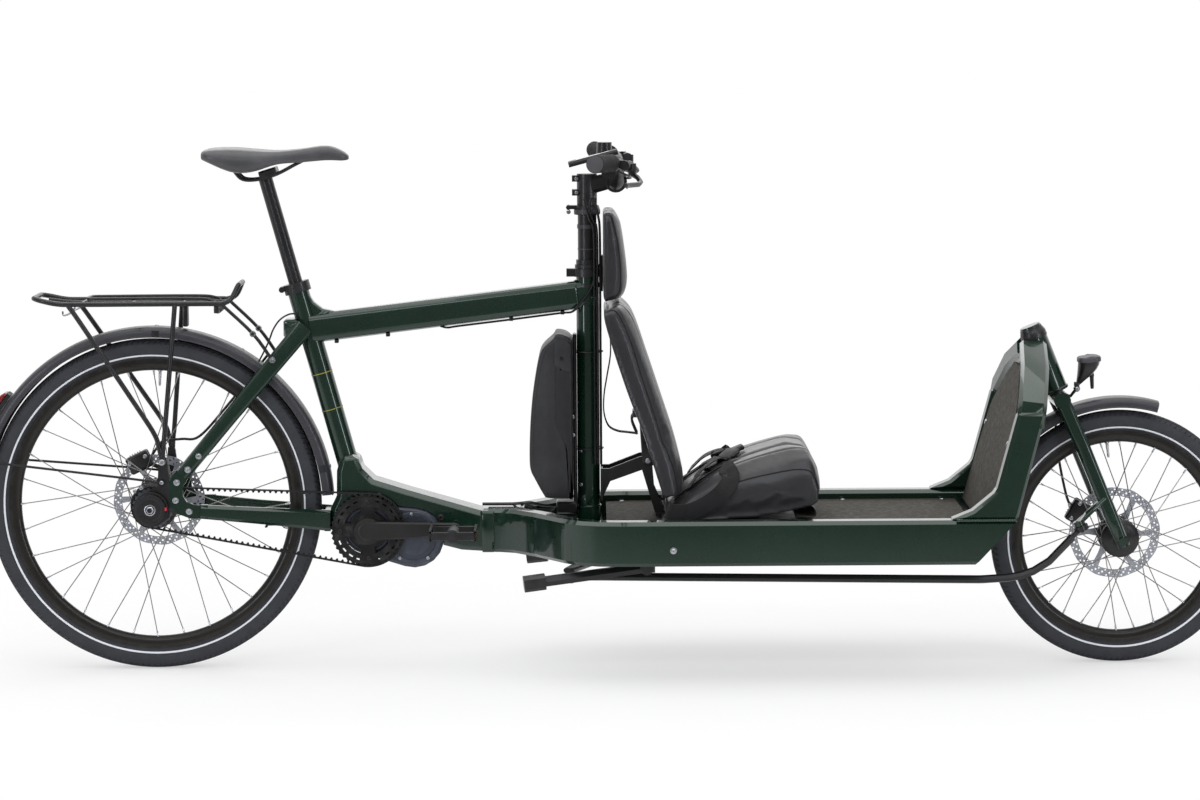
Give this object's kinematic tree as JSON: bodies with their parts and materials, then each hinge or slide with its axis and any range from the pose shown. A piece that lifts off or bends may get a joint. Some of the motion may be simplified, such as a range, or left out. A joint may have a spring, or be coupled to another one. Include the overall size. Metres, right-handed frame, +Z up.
{
  "type": "front-loader cargo bike",
  "caption": "Electric cargo bike with a load bed and child seat between the rider and a small front wheel, steered by a column, a tie rod and a fork.",
  "frame": {"origin": "on the ground under the rear axle, at the middle of the flat on which the rear tyre stands", "axes": "+X forward, +Y to the rider's left, +Z up"},
  "size_m": [2.4865, 0.686, 1.024],
  "materials": {
    "assist_button": "matt black",
    "backrest": "charcoal leatherette, soft sheen",
    "bar_cables": "matt black",
    "battery": "matt black",
    "battery_mount": "satin black coating",
    "bed_frame": "glossy dark green metallic paint",
    "bell": "satin black",
    "belt": "matt black",
    "belt_ring": "black anodised",
    "brake_body_left": "matt black",
    "brake_body_right": "matt black",
    "brake_lever_left": "black anodised",
    "brake_lever_right": "black anodised",
    "chainstays": "glossy dark green metallic paint",
    "crank_left": "black anodised",
    "crank_right": "black anodised",
    "display": "matt black",
    "floor_board": "speckled grey-brown coated board",
    "fork": "glossy dark green metallic paint",
    "front_arch": "glossy dark green metallic paint",
    "front_caliper": "matt black",
    "front_mudguard": "matt grey",
    "front_panel": "speckled grey-brown coated board",
    "front_rotor": "brushed",
    "front_tyre": "charcoal rubber with a thin white line",
    "front_wheel": "black rim and hub, bright spokes",
    "handlebar": "matt black bar with rubber grips",
    "harness": "woven black strap",
    "headlight": "matt black",
    "headrest": "charcoal leatherette, soft sheen",
    "headrest_bracket": "satin black coating",
    "kickstand": "satin black coating",
    "motor_beam": "glossy dark green metallic paint",
    "motor_housing": "satin dark blue-grey",
    "pedal_left": "matt black",
    "pedal_right": "matt black",
    "rack": "satin black coating",
    "rack_clamp": "satin black coating",
    "rear_axle_shifter": "satin black",
    "rear_caliper": "matt black",
    "rear_light": "red lens in a black case",
    "rear_mudguard": "matt grey",
    "rear_rotor": "brushed",
    "rear_sprocket": "grey steel teeth, satin",
    "rear_tyre": "charcoal rubber with a thin white line",
    "rear_wheel": "black rim and hub, bright spokes",
    "rod_end": "brushed",
    "saddle": "charcoal leatherette, soft sheen",
    "seat_clamp": "satin black coating",
    "seat_cushion": "charcoal leatherette, soft sheen",
    "seat_frame": "satin black coating",
    "seat_tube": "glossy dark green metallic paint",
    "seatpost": "satin black coating",
    "seatstays": "glossy dark green metallic paint",
    "shift_button": "matt black",
    "steering_column": "satin black coating",
    "steering_tube": "glossy dark green metallic paint",
    "stem": "satin black coating",
    "tie_rod": "satin black coating",
    "top_tube": "glossy dark green metallic paint"
  },
  "bodies": {
    "frame": {"seat_tube": "seat_tube", "top_tube": "top_tube", "steering_tube": "steering_tube", "motor_beam": "motor_beam", "bed_frame": "bed_frame", "front_arch": "front_arch", "seatstays": "seatstays", "chainstays": "chainstays", "floor_board": "floor_board", "front_panel": "front_panel", "seat_clamp": "seat_clamp", "motor_housing": "motor_housing", "belt": "belt", "rear_axle_shifter": "rear_axle_shifter", "rack": "rack", "rear_mudguard": "rear_mudguard", "rear_light": "rear_light", "rear_caliper": "rear_caliper", "battery_mount": "battery_mount", "seat_frame": "seat_frame", "seat_cushion": "seat_cushion", "harness": "harness", "headrest_bracket": "headrest_bracket", "bar_cables": "bar_cables"},
    "rear_wheel": {"rear_tyre": "rear_tyre", "rear_wheel": "rear_wheel", "rear_rotor": "rear_rotor"},
    "sprocket": {"rear_sprocket": "rear_sprocket"},
    "cranks": {"crank_right": "crank_right", "crank_left": "crank_left", "belt_ring": "belt_ring"},
    "pedal_right": {"pedal_right": "pedal_right"},
    "pedal_left": {"pedal_left": "pedal_left"},
    "front_wheel": {"front_tyre": "front_tyre", "front_wheel": "front_wheel", "front_rotor": "front_rotor"},
    "fork": {"fork": "fork", "front_mudguard": "front_mudguard", "front_caliper": "front_caliper"},
    "headlight": {"headlight": "headlight"},
    "column": {"steering_column": "steering_column"},
    "rod_end": {"rod_end": "rod_end"},
    "tie_rod": {"tie_rod": "tie_rod"},
    "cockpit": {"stem": "stem", "handlebar": "handlebar", "brake_body_right": "brake_body_right", "brake_body_left": "brake_body_left", "display": "display", "bell": "bell"},
    "brake_lever_right": {"brake_lever_right": "brake_lever_right"},
    "brake_lever_left": {"brake_lever_left": "brake_lever_left"},
    "shift_button": {"shift_button": "shift_button"},
    "assist_button": {"assist_button": "assist_button"},
    "seat": {"seatpost": "seatpost", "saddle": "saddle"},
    "kickstand": {"kickstand": "kickstand"},
    "rack_clamp": {"rack_clamp": "rack_clamp"},
    "backrest": {"backrest": "backrest"},
    "headrest": {"headrest": "headrest"},
    "battery": {"battery": "battery"}
  },
  "joints": [
    {"name": "rear_wheel_spin", "type": "hinge", "parent": "frame", "child": "rear_wheel", "pos_m": [0, 0, 0.32526], "axis": [0, 1, 0], "continuous": true},
    {"name": "crank_spin", "type": "hinge", "parent": "frame", "child": "cranks", "pos_m": [0.4185, 0, 0.278], "axis": [0, 1, 0], "continuous": true},
    {"name": "sprocket_spin", "type": "hinge", "parent": "frame", "child": "sprocket", "pos_m": [0, 0, 0.32526], "axis": [0, 1, 0], "continuous": true},
    {"name": "pedal_right_spin", "type": "hinge", "parent": "cranks", "child": "pedal_right", "pos_m": [0.58842, -0.088, 0.28304], "axis": [0, 1, 0], "continuous": true},
    {"name": "pedal_left_spin", "type": "hinge", "parent": "cranks", "child": "pedal_left", "pos_m": [0.24857, 0.088, 0.27296], "axis": [0, 1, 0], "continuous": true},
    {"name": "steering", "type": "hinge", "parent": "frame", "child": "column", "pos_m": [0.849, 0, 0.5], "axis": [0, 0, 1], "range_deg": [-30, 30]},
    {"name": "fork_turn", "type": "hinge", "parent": "frame", "child": "fork", "pos_m": [1.762, 0, 0.538], "axis": [-0.3746, 0, 0.9272], "range_deg": [-29, 29]},
    {"name": "rod_yaw", "type": "hinge", "parent": "column", "child": "rod_end", "pos_m": [0.814, -0.093, 0.19], "axis": [0, 0, 1], "range_deg": [-31, 31]},
    {"name": "rod_pitch", "type": "hinge", "parent": "rod_end", "child": "tie_rod", "pos_m": [0.84, -0.093, 0.19], "axis": [0, -1, 0], "range_deg": [-1.5, 1.5]},
    {"name": "front_wheel_spin", "type": "hinge", "parent": "fork", "child": "front_wheel", "pos_m": [1.887, 0, 0.24905], "axis": [0, 1, 0], "continuous": true},
    {"name": "headlight_tilt", "type": "hinge", "parent": "fork", "child": "headlight", "pos_m": [1.804, 0, 0.5405], "axis": [0, 1, 0], "range_deg": [-10, 10]},
    {"name": "stem_height", "type": "slide", "parent": "column", "child": "cockpit", "axis": [0, 0, 1], "range_m": [0, 0.1]},
    {"name": "brake_lever_right_pull", "type": "hinge", "parent": "cockpit", "child": "brake_lever_right", "pos_m": [0.9345, -0.19619, 0.9753], "axis": [0, 0, -1], "range_deg": [0, 14], "stiffness_Nm_per_rad": 0.5, "springref_deg": -2.86},
    {"name": "brake_lever_left_pull", "type": "hinge", "parent": "cockpit", "child": "brake_lever_left", "pos_m": [0.9345, 0.19619, 0.9753], "axis": [0, 0, 1], "range_deg": [0, 14], "stiffness_Nm_per_rad": 0.5, "springref_deg": -2.86},
    {"name": "shift_button_press", "type": "slide", "parent": "cockpit", "child": "shift_button", "axis": [1, 0, 0], "range_m": [0, 0.003], "stiffness_N_per_m": 150, "springref_m": -0.002},
    {"name": "assist_button_press", "type": "slide", "parent": "cockpit", "child": "assist_button", "axis": [1, 0, 0], "range_m": [0, 0.003], "stiffness_N_per_m": 150, "springref_m": -0.002},
    {"name": "seat_height", "type": "slide", "parent": "frame", "child": "seat", "axis": [-0.2639, 0, 0.9646], "range_m": [-0.12, 0.05]},
    {"name": "stand_fold", "type": "hinge", "parent": "frame", "child": "kickstand", "pos_m": [0.96, 0, 0.2165], "axis": [0, -1, 0], "range_deg": [0, 95]},
    {"name": "rack_clamp_lift", "type": "hinge", "parent": "frame", "child": "rack_clamp", "pos_m": [0.132, 0, 0.7085], "axis": [0, 1, 0], "range_deg": [0, 60], "stiffness_Nm_per_rad": 0.3, "springref_deg": -34.38},
    {"name": "backrest_tilt", "type": "hinge", "parent": "frame", "child": "backrest", "pos_m": [0.965, 0, 0.408], "axis": [0, 1, 0], "range_deg": [0, 8]},
    {"name": "headrest_height", "type": "slide", "parent": "frame", "child": "headrest", "axis": [0, 0, 1], "range_m": [0, 0.02]},
    {"name": "battery_release", "type": "slide", "parent": "frame", "child": "battery", "axis": [-1, 0, 0], "range_m": [0, 0.06]}
  ],
  "couplings": [
    {"joint": "sprocket_spin", "follows": "crank_spin", "ratio": 1.75},
    {"joint": "fork_turn", "follows": "steering", "ratio": 0.96},
    {"joint": "rod_yaw", "follows": "steering", "ratio": -1.022},
    {"joint": "rod_pitch", "follows": "steering", "ratio": 0.036}
  ]
}
